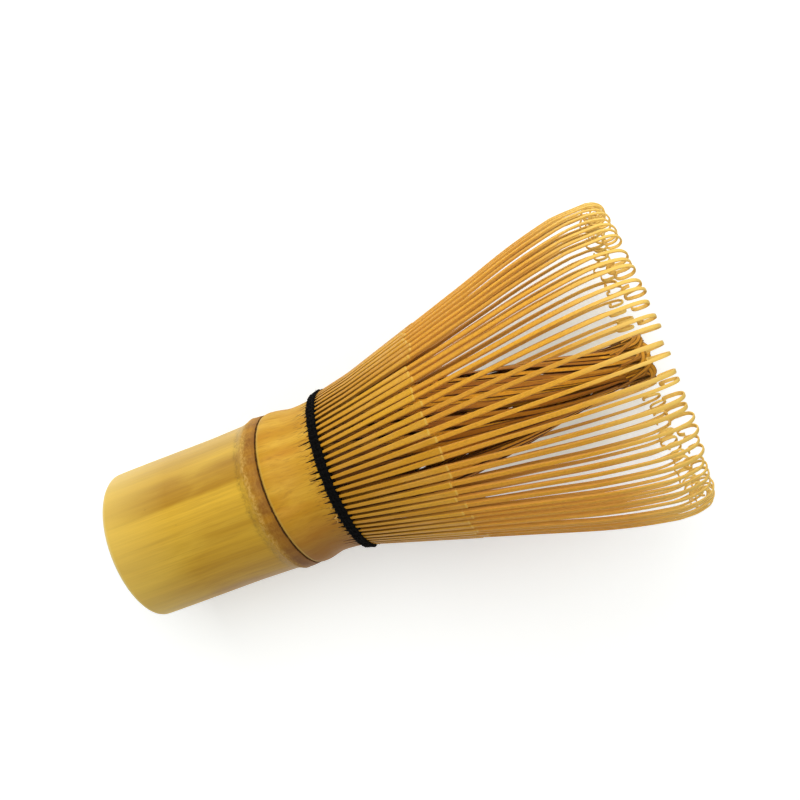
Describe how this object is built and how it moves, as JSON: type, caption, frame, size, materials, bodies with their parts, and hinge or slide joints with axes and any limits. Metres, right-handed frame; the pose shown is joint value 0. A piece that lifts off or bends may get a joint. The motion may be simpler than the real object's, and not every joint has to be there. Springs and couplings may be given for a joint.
{
  "type": "bamboo tea whisk",
  "caption": "Hollow bamboo handle whose upper wall is split into fine springy tines, an outer ring curled at the tips and an inner twisted bundle, parted by a black thread.",
  "frame": {"origin": "centre of the handle's flat bottom end", "axes": "+Z along the whisk's axis, from the handle to the tips of the tines; +X through the middle of the first group of outer tines"},
  "size_m": [0.0566, 0.0566, 0.1019],
  "materials": {
    "bamboo_skin": "polished golden bamboo skin",
    "bamboo_pith": "dull pale bamboo pith",
    "cotton_thread": "matte black twisted cotton",
    "inner_tine_bamboo": "pared bamboo, darker and dull",
    "outer_tine_bamboo": "pared bamboo with satin skin"
  },
  "bodies": {
    "handle": {"handle_culm": "bamboo_skin", "node_septum": "bamboo_pith", "binding_thread": "cotton_thread", "inner_tines_01": "inner_tine_bamboo", "inner_tines_02": "inner_tine_bamboo", "inner_tines_03": "inner_tine_bamboo", "inner_tines_04": "inner_tine_bamboo", "inner_tines_05": "inner_tine_bamboo", "inner_tines_06": "inner_tine_bamboo", "inner_tines_07": "inner_tine_bamboo", "inner_tines_08": "inner_tine_bamboo", "inner_tines_09": "inner_tine_bamboo", "inner_tines_10": "inner_tine_bamboo", "inner_tines_11": "inner_tine_bamboo", "inner_tines_12": "inner_tine_bamboo", "inner_tines_13": "inner_tine_bamboo", "inner_tines_14": "inner_tine_bamboo", "inner_tines_15": "inner_tine_bamboo", "inner_tines_16": "inner_tine_bamboo"},
    "outer_01": {"outer_tines_01": "outer_tine_bamboo"},
    "outer_02": {"outer_tines_02": "outer_tine_bamboo"},
    "outer_03": {"outer_tines_03": "outer_tine_bamboo"},
    "outer_04": {"outer_tines_04": "outer_tine_bamboo"},
    "outer_05": {"outer_tines_05": "outer_tine_bamboo"},
    "outer_06": {"outer_tines_06": "outer_tine_bamboo"},
    "outer_07": {"outer_tines_07": "outer_tine_bamboo"},
    "outer_08": {"outer_tines_08": "outer_tine_bamboo"},
    "outer_09": {"outer_tines_09": "outer_tine_bamboo"},
    "outer_10": {"outer_tines_10": "outer_tine_bamboo"},
    "outer_11": {"outer_tines_11": "outer_tine_bamboo"},
    "outer_12": {"outer_tines_12": "outer_tine_bamboo"},
    "outer_13": {"outer_tines_13": "outer_tine_bamboo"},
    "outer_14": {"outer_tines_14": "outer_tine_bamboo"},
    "outer_15": {"outer_tines_15": "outer_tine_bamboo"},
    "outer_16": {"outer_tines_16": "outer_tine_bamboo"}
  },
  "joints": [
    {"name": "outer_flex_01", "type": "hinge", "parent": "handle", "child": "outer_01", "pos_m": [0.01456, 0, 0.0431], "axis": [0, 1, 0], "range_deg": [-3, 5], "stiffness_Nm_per_rad": 0.02},
    {"name": "outer_flex_02", "type": "hinge", "parent": "handle", "child": "outer_02", "pos_m": [0.01346, 0.00557, 0.0431], "axis": [-0.3827, 0.9239, 0], "range_deg": [-3, 5], "stiffness_Nm_per_rad": 0.02},
    {"name": "outer_flex_03", "type": "hinge", "parent": "handle", "child": "outer_03", "pos_m": [0.0103, 0.0103, 0.0431], "axis": [-0.7071, 0.7071, 0], "range_deg": [-3, 5], "stiffness_Nm_per_rad": 0.02},
    {"name": "outer_flex_04", "type": "hinge", "parent": "handle", "child": "outer_04", "pos_m": [0.00557, 0.01346, 0.0431], "axis": [-0.9239, 0.3827, 0], "range_deg": [-3, 5], "stiffness_Nm_per_rad": 0.02},
    {"name": "outer_flex_05", "type": "hinge", "parent": "handle", "child": "outer_05", "pos_m": [0, 0.01456, 0.0431], "axis": [-1, 0, 0], "range_deg": [-3, 5], "stiffness_Nm_per_rad": 0.02},
    {"name": "outer_flex_06", "type": "hinge", "parent": "handle", "child": "outer_06", "pos_m": [-0.00557, 0.01346, 0.0431], "axis": [-0.9239, -0.3827, 0], "range_deg": [-3, 5], "stiffness_Nm_per_rad": 0.02},
    {"name": "outer_flex_07", "type": "hinge", "parent": "handle", "child": "outer_07", "pos_m": [-0.0103, 0.0103, 0.0431], "axis": [-0.7071, -0.7071, 0], "range_deg": [-3, 5], "stiffness_Nm_per_rad": 0.02},
    {"name": "outer_flex_08", "type": "hinge", "parent": "handle", "child": "outer_08", "pos_m": [-0.01346, 0.00557, 0.0431], "axis": [-0.3827, -0.9239, 0], "range_deg": [-3, 5], "stiffness_Nm_per_rad": 0.02},
    {"name": "outer_flex_09", "type": "hinge", "parent": "handle", "child": "outer_09", "pos_m": [-0.01456, 0, 0.0431], "axis": [0, -1, 0], "range_deg": [-3, 5], "stiffness_Nm_per_rad": 0.02},
    {"name": "outer_flex_10", "type": "hinge", "parent": "handle", "child": "outer_10", "pos_m": [-0.01346, -0.00557, 0.0431], "axis": [0.3827, -0.9239, 0], "range_deg": [-3, 5], "stiffness_Nm_per_rad": 0.02},
    {"name": "outer_flex_11", "type": "hinge", "parent": "handle", "child": "outer_11", "pos_m": [-0.0103, -0.0103, 0.0431], "axis": [0.7071, -0.7071, 0], "range_deg": [-3, 5], "stiffness_Nm_per_rad": 0.02},
    {"name": "outer_flex_12", "type": "hinge", "parent": "handle", "child": "outer_12", "pos_m": [-0.00557, -0.01346, 0.0431], "axis": [0.9239, -0.3827, 0], "range_deg": [-3, 5], "stiffness_Nm_per_rad": 0.02},
    {"name": "outer_flex_13", "type": "hinge", "parent": "handle", "child": "outer_13", "pos_m": [0, -0.01456, 0.0431], "axis": [1, 0, 0], "range_deg": [-3, 5], "stiffness_Nm_per_rad": 0.02},
    {"name": "outer_flex_14", "type": "hinge", "parent": "handle", "child": "outer_14", "pos_m": [0.00557, -0.01346, 0.0431], "axis": [0.9239, 0.3827, 0], "range_deg": [-3, 5], "stiffness_Nm_per_rad": 0.02},
    {"name": "outer_flex_15", "type": "hinge", "parent": "handle", "child": "outer_15", "pos_m": [0.0103, -0.0103, 0.0431], "axis": [0.7071, 0.7071, 0], "range_deg": [-3, 5], "stiffness_Nm_per_rad": 0.02},
    {"name": "outer_flex_16", "type": "hinge", "parent": "handle", "child": "outer_16", "pos_m": [0.01346, -0.00557, 0.0431], "axis": [0.3827, 0.9239, 0], "range_deg": [-3, 5], "stiffness_Nm_per_rad": 0.02}
  ]
}
